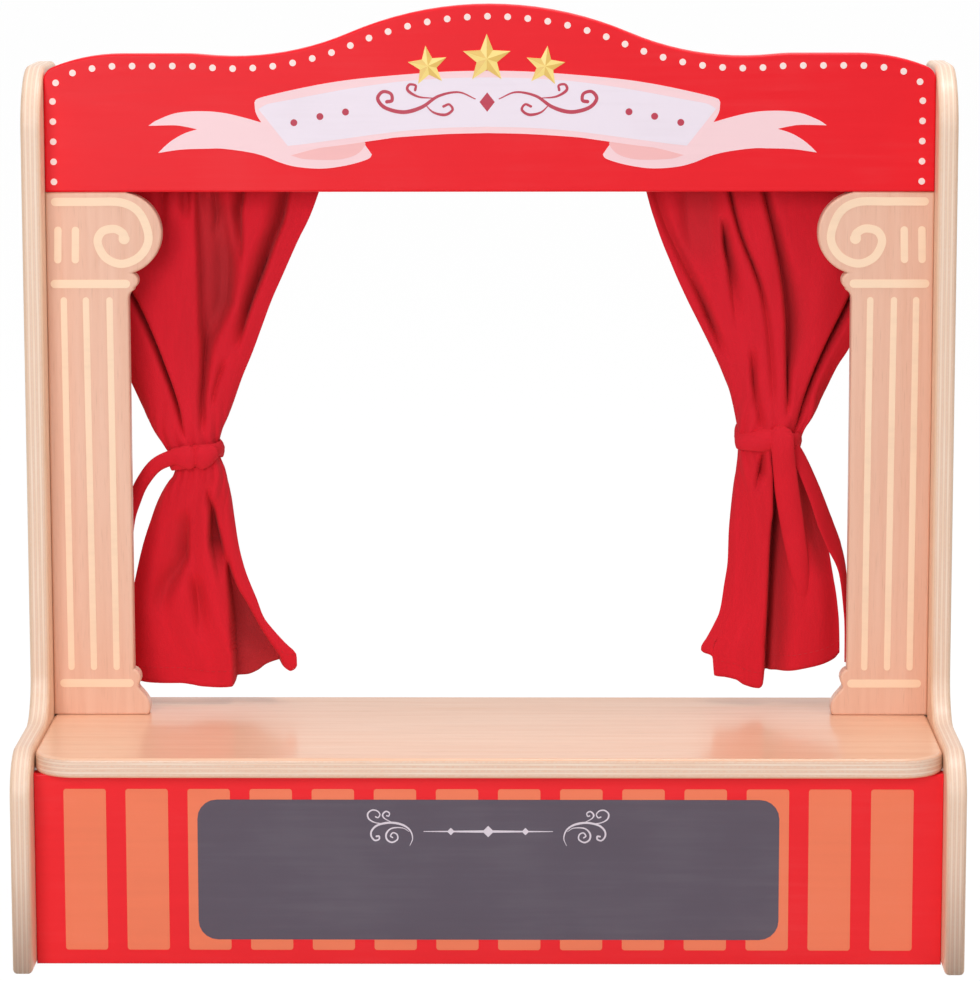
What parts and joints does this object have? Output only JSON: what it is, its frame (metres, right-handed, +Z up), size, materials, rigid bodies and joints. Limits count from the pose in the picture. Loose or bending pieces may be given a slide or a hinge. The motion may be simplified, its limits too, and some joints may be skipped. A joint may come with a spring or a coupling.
{
  "type": "toy theatre",
  "caption": "Table-top wooden puppet theatre with stepped sides, an arched header on flat columns, a stage shelf, a striped front and tied-back curtains that slide on a rod.",
  "frame": {"origin": "on the table under the middle of the theatre, centre of the bounding box's bottom face", "axes": "+Z up, -Y towards the audience, +X to the right as the audience sees it"},
  "size_m": [0.56, 0.23, 0.562],
  "materials": {
    "birch_ply": "clear satin lacquer",
    "red_lacquer": "satin lacquer",
    "column_birch": "satin lacquer",
    "curtain_velour": "short pile",
    "tie_velour": "short pile",
    "zinc_steel": "zinc plated",
    "beech": "plain sanded"
  },
  "bodies": {
    "frame": {"side_panel_left": "birch_ply", "side_panel_right": "birch_ply", "stage_shelf": "birch_ply", "front_panel": "red_lacquer", "header_board": "red_lacquer", "column_left": "column_birch", "column_right": "column_birch", "curtain_rod": "beech", "shelf_bolts": "zinc_steel", "front_panel_bolts": "zinc_steel", "header_bolts": "zinc_steel", "shelf_barrel_nuts": "zinc_steel", "front_panel_barrel_nuts": "zinc_steel", "header_barrel_nuts": "zinc_steel", "column_top_dowels": "beech", "column_base_dowels": "beech", "front_panel_dowels": "beech"},
    "left_curtain": {"curtain_left": "curtain_velour", "curtain_tie_left": "tie_velour"},
    "right_curtain": {"curtain_right": "curtain_velour", "curtain_tie_right": "tie_velour"}
  },
  "joints": [
    {"name": "left_curtain_slide", "type": "slide", "parent": "frame", "child": "left_curtain", "axis": [1, 0, 0], "range_m": [0, 0.088]},
    {"name": "right_curtain_slide", "type": "slide", "parent": "frame", "child": "right_curtain", "axis": [-1, 0, 0], "range_m": [0, 0.082]}
  ]
}
